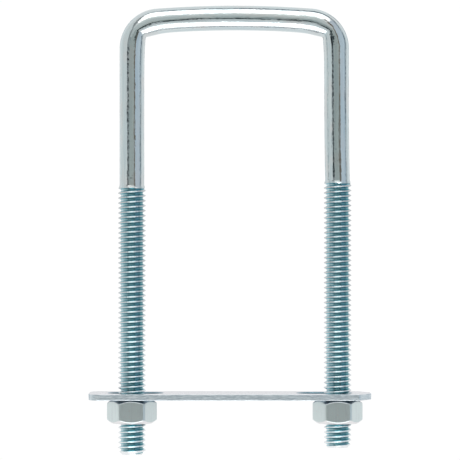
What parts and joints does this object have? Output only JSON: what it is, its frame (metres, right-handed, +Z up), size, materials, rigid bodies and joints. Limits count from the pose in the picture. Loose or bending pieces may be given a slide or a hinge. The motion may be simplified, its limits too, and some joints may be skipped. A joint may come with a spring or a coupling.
{
  "type": "u-bolt",
  "caption": "Square-bend U-shaped bolt with threaded legs, a slotted clamp plate and hex nuts, which holds a square tube or beam against a surface.",
  "frame": {"origin": "midway between the legs' axes, on the face of the clamp plate that bears on the tube, with the plate where it is at rest", "axes": "+Z up the legs towards the crown, +X across from the longer leg to the shorter leg, +Y from front to back, across the plate's width"},
  "size_m": [0.0797, 0.019, 0.127],
  "materials": {
    "zinc_rod": "bright zinc plating with a blue passivation, on drawn and rolled steel",
    "zinc_plate": "zinc plating on sheared steel strip",
    "zinc_nut": "satin zinc plating"
  },
  "bodies": {
    "rod": {"u_bolt_rod": "zinc_rod"},
    "plate": {"clamp_plate": "zinc_plate"},
    "left_nut": {"left_nut": "zinc_nut"},
    "right_nut": {"right_nut": "zinc_nut"}
  },
  "joints": [
    {"name": "plate_slide", "type": "slide", "parent": "rod", "child": "plate", "axis": [0, 0, 1], "range_m": [-0.006, 0.0575]},
    {"name": "left_nut_turn", "type": "hinge", "parent": "plate", "child": "left_nut", "pos_m": [-0.0291, 0, -0.005], "axis": [0, 0, 1], "range_deg": [-1530, 14660]},
    {"name": "right_nut_turn", "type": "hinge", "parent": "plate", "child": "right_nut", "pos_m": [0.0291, 0, -0.005], "axis": [0, 0, 1], "range_deg": [-1530, 14660]}
  ],
  "couplings": [
    {"joint": "plate_slide", "follows": "left_nut_turn", "m_per_rad": 0.00022458},
    {"joint": "right_nut_turn", "follows": "left_nut_turn", "ratio": 1}
  ]
}
